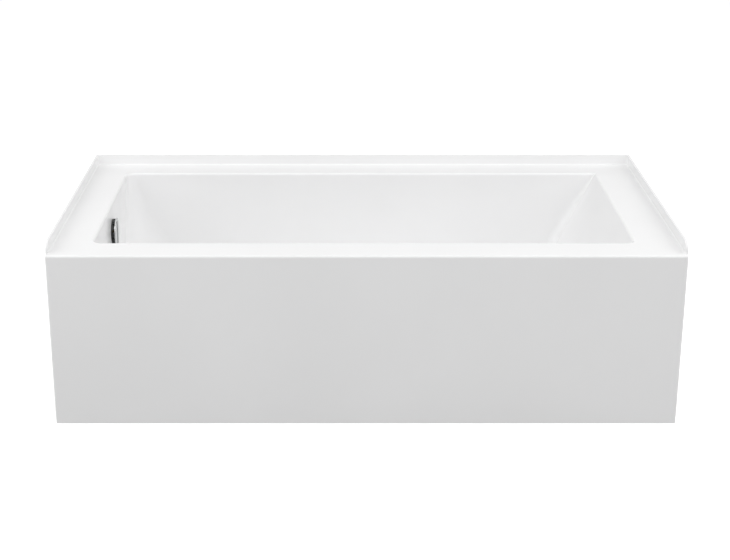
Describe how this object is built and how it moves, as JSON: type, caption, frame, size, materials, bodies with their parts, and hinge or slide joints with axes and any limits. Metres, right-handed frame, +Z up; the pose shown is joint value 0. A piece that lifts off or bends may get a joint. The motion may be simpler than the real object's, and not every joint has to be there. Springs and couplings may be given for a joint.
{
  "type": "alcove bathtub",
  "caption": "Rectangular alcove bathtub with an integral apron and tile flange, reclined back rest, turning overflow knob, pop-up plug, drain pipework, wooden base and levelling feet.",
  "frame": {"origin": "on the floor, under the middle of the tub's outline", "axes": "+X along the tub from the drain end to the back rest, +Y from the apron to the wall, +Z up"},
  "size_m": [1.524, 0.8128, 0.4634],
  "materials": {
    "acrylic": "glossy white acrylic",
    "board": "raw particle board and softwood",
    "zinc_steel": "zinc plated",
    "foot_plastic": "moulded",
    "chrome": "polished chrome plate",
    "brass": "plain turned brass",
    "pipe_plastic": "black moulded",
    "seal_rubber": "matt",
    "sheath_plastic": "smooth"
  },
  "bodies": {
    "tub": {"tub_shell": "acrylic", "bottom_board": "board", "apron_batten": "board", "front_rim_batten": "board", "rear_rim_batten": "board", "foot_rail_left": "zinc_steel", "foot_rail_right": "zinc_steel", "weld_nuts": "zinc_steel", "foot_lock_nuts": "zinc_steel", "rail_screws": "zinc_steel", "brace_screws": "zinc_steel", "apron_brace_left": "zinc_steel", "apron_brace_right": "zinc_steel", "inlet_screws": "zinc_steel", "cable_ferrules": "zinc_steel", "waste_flange": "chrome", "lifter_pin": "brass", "waste_shoe": "pipe_plastic", "waste_tee": "pipe_plastic", "waste_pipe": "pipe_plastic", "overflow_pipe": "pipe_plastic", "slip_nuts": "pipe_plastic", "overflow_elbow": "pipe_plastic", "inlet_ring": "pipe_plastic", "waste_seal": "seal_rubber", "shoe_washer": "seal_rubber", "slip_washers": "seal_rubber", "overflow_gasket": "seal_rubber", "cable_sheath": "sheath_plastic"},
    "knob": {"control_knob": "chrome", "knob_spindle": "brass", "drive_cam": "pipe_plastic"},
    "plug": {"plug_cap": "chrome", "plug_seal": "seal_rubber", "plug_stem": "brass", "plug_lock_nut": "brass"},
    "lifter": {"lifter_crank": "brass"},
    "push_pin": {"cable_push_pin": "brass"},
    "foot_front_left": {"foot_pad_front_left": "foot_plastic", "foot_stud_front_left": "zinc_steel"},
    "foot_front_right": {"foot_pad_front_right": "foot_plastic", "foot_stud_front_right": "zinc_steel"},
    "foot_rear_left": {"foot_pad_rear_left": "foot_plastic", "foot_stud_rear_left": "zinc_steel"},
    "foot_rear_right": {"foot_pad_rear_right": "foot_plastic", "foot_stud_rear_right": "zinc_steel"}
  },
  "joints": [
    {"name": "knob_turn", "type": "hinge", "parent": "tub", "child": "knob", "pos_m": [-0.6707, 0, 0.363], "axis": [1, 0, 0], "range_deg": [0, 90]},
    {"name": "plug_lift", "type": "slide", "parent": "tub", "child": "plug", "axis": [0, 0, 1], "range_m": [0, 0.009]},
    {"name": "lifter_rock", "type": "hinge", "parent": "tub", "child": "lifter", "pos_m": [-0.508, 0.018, 0.042], "axis": [-1, 0, 0], "range_deg": [0, 27.51]},
    {"name": "pin_push", "type": "slide", "parent": "tub", "child": "push_pin", "axis": [0, -1, 0], "range_m": [0, 0.0044]},
    {"name": "foot_front_left_screw", "type": "slide", "parent": "tub", "child": "foot_front_left", "axis": [0, 0, -1], "range_m": [0, 0.012]},
    {"name": "foot_front_right_screw", "type": "slide", "parent": "tub", "child": "foot_front_right", "axis": [0, 0, -1], "range_m": [0, 0.012]},
    {"name": "foot_rear_left_screw", "type": "slide", "parent": "tub", "child": "foot_rear_left", "axis": [0, 0, -1], "range_m": [0, 0.012]},
    {"name": "foot_rear_right_screw", "type": "slide", "parent": "tub", "child": "foot_rear_right", "axis": [0, 0, -1], "range_m": [0, 0.012]}
  ],
  "couplings": [
    {"joint": "plug_lift", "follows": "knob_turn", "m_per_rad": 0.0057295},
    {"joint": "lifter_rock", "follows": "knob_turn", "ratio": 0.3055},
    {"joint": "pin_push", "follows": "knob_turn", "m_per_rad": 0.002801}
  ]
}
